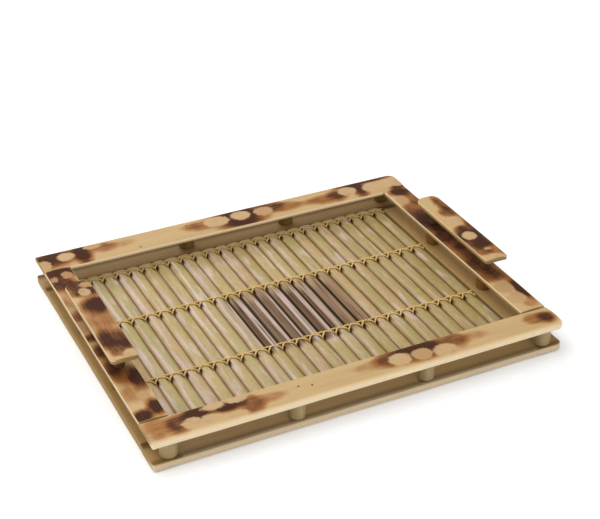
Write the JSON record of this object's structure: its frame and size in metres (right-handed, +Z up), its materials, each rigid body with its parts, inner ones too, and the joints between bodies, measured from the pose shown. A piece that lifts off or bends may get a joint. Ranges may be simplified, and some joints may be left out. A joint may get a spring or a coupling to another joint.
{
  "type": "serving tray",
  "caption": "Rectangular serving tray of scorched split bamboo: two stacked rings of strips held apart by pegs, a twine-bound slat mat and raised strip handles.",
  "frame": {"origin": "centre of the tray on the surface that it stands on", "axes": "+X along the tray's length towards its right handle, +Y from the front to the back long side, +Z up"},
  "size_m": [0.35, 0.285, 0.0437],
  "materials": {
    "scorched_skin": "glossy bamboo skin with scorched patches and pale resist spots",
    "scorched_handle": "glossy bamboo skin, heavily scorched",
    "split_bamboo": "satin split bamboo, hollow side, olive brown",
    "peg_bamboo": "satin green-grey bamboo",
    "post_bamboo": "satin brown bamboo",
    "slat_bamboo": "glossy split slats, olive to straw, stained darker in the middle",
    "twine": "twisted straw-coloured twine",
    "nail_steel": "dull steel nail"
  },
  "bodies": {
    "root": {"upper_rail_front": "scorched_skin", "upper_rail_back": "scorched_skin", "upper_rail_left": "scorched_skin", "upper_rail_right": "scorched_skin", "lower_rail_front": "split_bamboo", "lower_rail_back": "split_bamboo", "lower_rail_left": "split_bamboo", "lower_rail_right": "split_bamboo", "peg_front_1": "peg_bamboo", "peg_front_2": "peg_bamboo", "peg_front_3": "peg_bamboo", "peg_front_4": "peg_bamboo", "peg_back_1": "peg_bamboo", "peg_back_2": "peg_bamboo", "peg_back_3": "peg_bamboo", "peg_back_4": "peg_bamboo", "handle_left": "scorched_handle", "peg_left_back": "peg_bamboo", "handle_post_left_back": "post_bamboo", "handle_nail_left_back": "nail_steel", "peg_left_front": "peg_bamboo", "handle_post_left_front": "post_bamboo", "handle_nail_left_front": "nail_steel", "handle_right": "scorched_handle", "peg_right_back": "peg_bamboo", "handle_post_right_back": "post_bamboo", "handle_nail_right_back": "nail_steel", "peg_right_front": "peg_bamboo", "handle_post_right_front": "post_bamboo", "handle_nail_right_front": "nail_steel", "mat_slat_01": "slat_bamboo", "mat_slat_02": "slat_bamboo", "mat_slat_03": "slat_bamboo", "mat_slat_04": "slat_bamboo", "mat_slat_05": "slat_bamboo", "mat_slat_06": "slat_bamboo", "mat_slat_07": "slat_bamboo", "mat_slat_08": "slat_bamboo", "mat_slat_09": "slat_bamboo", "mat_slat_10": "slat_bamboo", "mat_slat_11": "slat_bamboo", "mat_slat_12": "slat_bamboo", "mat_slat_13": "slat_bamboo", "mat_slat_14": "slat_bamboo", "mat_slat_15": "slat_bamboo", "mat_slat_16": "slat_bamboo", "mat_slat_17": "slat_bamboo", "mat_slat_18": "slat_bamboo", "mat_slat_19": "slat_bamboo", "mat_slat_20": "slat_bamboo", "mat_slat_21": "slat_bamboo", "mat_slat_22": "slat_bamboo", "mat_slat_23": "slat_bamboo", "mat_slat_24": "slat_bamboo", "mat_slat_25": "slat_bamboo", "twine_row_back": "twine", "twine_row_mid_back": "twine", "twine_row_mid_front": "twine", "twine_row_front": "twine"}
  },
  "joints": []
}
